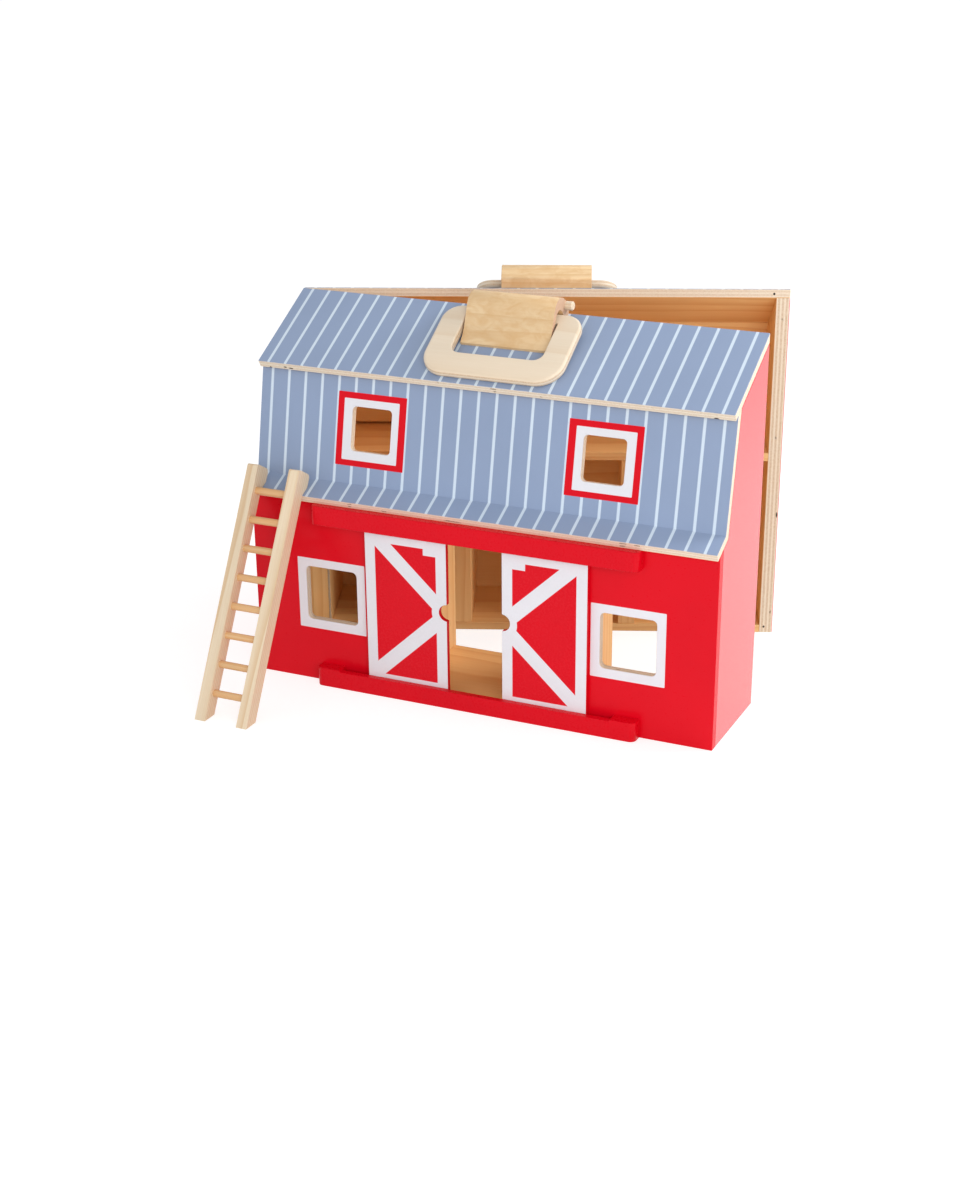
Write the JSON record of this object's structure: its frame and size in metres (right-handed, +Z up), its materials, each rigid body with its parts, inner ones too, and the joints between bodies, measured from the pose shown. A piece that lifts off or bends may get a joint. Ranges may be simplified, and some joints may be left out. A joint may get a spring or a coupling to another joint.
{
  "type": "toy barn with opening doors",
  "caption": "Folding wooden toy barn: two hinged half shells with sliding doors, windows, a lapped gambrel roof, folding carrying rings and a hooked ladder.",
  "frame": {"origin": "on the ground under the middle of the front half's floor board", "axes": "+X along the barn to the right as seen from the doors, +Y from the door side to the seam, +Z up"},
  "size_m": [0.3698, 0.3867, 0.2677],
  "materials": {
    "red_paint": "gloss red paint",
    "door_paint": "gloss red paint with white trim",
    "roof_paint": "satin grey-blue paint with pale stripes",
    "pine": "bare pine",
    "saddle_wood": "bare moulded beech",
    "birch": "clear lacquered birch ply",
    "ladder_wood": "bare pale pine",
    "steel": "plated steel"
  },
  "bodies": {
    "front_half": {"front_wall": "red_paint", "front_left_side": "red_paint", "front_right_side": "red_paint", "front_floor": "pine", "front_loft": "pine", "front_left_divider": "pine", "front_right_divider": "pine", "front_lower_roof": "roof_paint", "front_upper_roof": "roof_paint", "front_handle_saddle": "saddle_wood", "front_handle_stop_dowel": "birch", "front_hinge_screws": "steel", "front_lower_hinge_leaf": "steel", "front_upper_hinge_leaf": "steel", "hinge_pins": "steel", "door_header_rail": "red_paint", "door_bottom_rail": "red_paint"},
    "back_half": {"back_wall": "red_paint", "back_left_side": "red_paint", "back_right_side": "red_paint", "back_floor": "pine", "back_loft": "pine", "back_left_divider": "pine", "back_right_divider": "pine", "back_lower_roof": "roof_paint", "back_upper_roof": "roof_paint", "back_handle_saddle": "saddle_wood", "back_hinge_screws": "steel", "back_lower_hinge_leaf": "steel", "back_upper_hinge_leaf": "steel"},
    "left_door": {"left_door": "door_paint"},
    "right_door": {"right_door": "door_paint"},
    "front_handle": {"front_handle_ring": "birch"},
    "back_handle": {"back_handle_ring": "birch"},
    "ladder": {"ladder_left_rail": "ladder_wood", "ladder_right_rail": "ladder_wood", "ladder_rungs": "ladder_wood"}
  },
  "joints": [
    {"name": "back_half_swing", "type": "hinge", "parent": "front_half", "child": "back_half", "pos_m": [-0.1704, 0.04125, 0.11], "axis": [0, 0, 1], "range_deg": [-22.3, 157.7]},
    {"name": "left_door_slide", "type": "slide", "parent": "front_half", "child": "left_door", "axis": [-1, 0, 0], "range_m": [-0.01885, 0.0203]},
    {"name": "right_door_slide", "type": "slide", "parent": "front_half", "child": "right_door", "axis": [1, 0, 0], "range_m": [-0.02115, 0.018]},
    {"name": "front_handle_fold", "type": "hinge", "parent": "front_half", "child": "front_handle", "pos_m": [0, 0.02519, 0.2538], "axis": [-1, 0, 0], "range_deg": [0, 154]},
    {"name": "back_handle_fold", "type": "hinge", "parent": "back_half", "child": "back_handle", "pos_m": [-0.01884, 0.12077, 0.2538], "axis": [0.9252, 0.3795, 0], "range_deg": [0, 134]},
    {"name": "ladder_lift", "type": "slide", "parent": "front_half", "child": "ladder", "axis": [0, 0, 1], "range_m": [0, 0.06]}
  ]
}
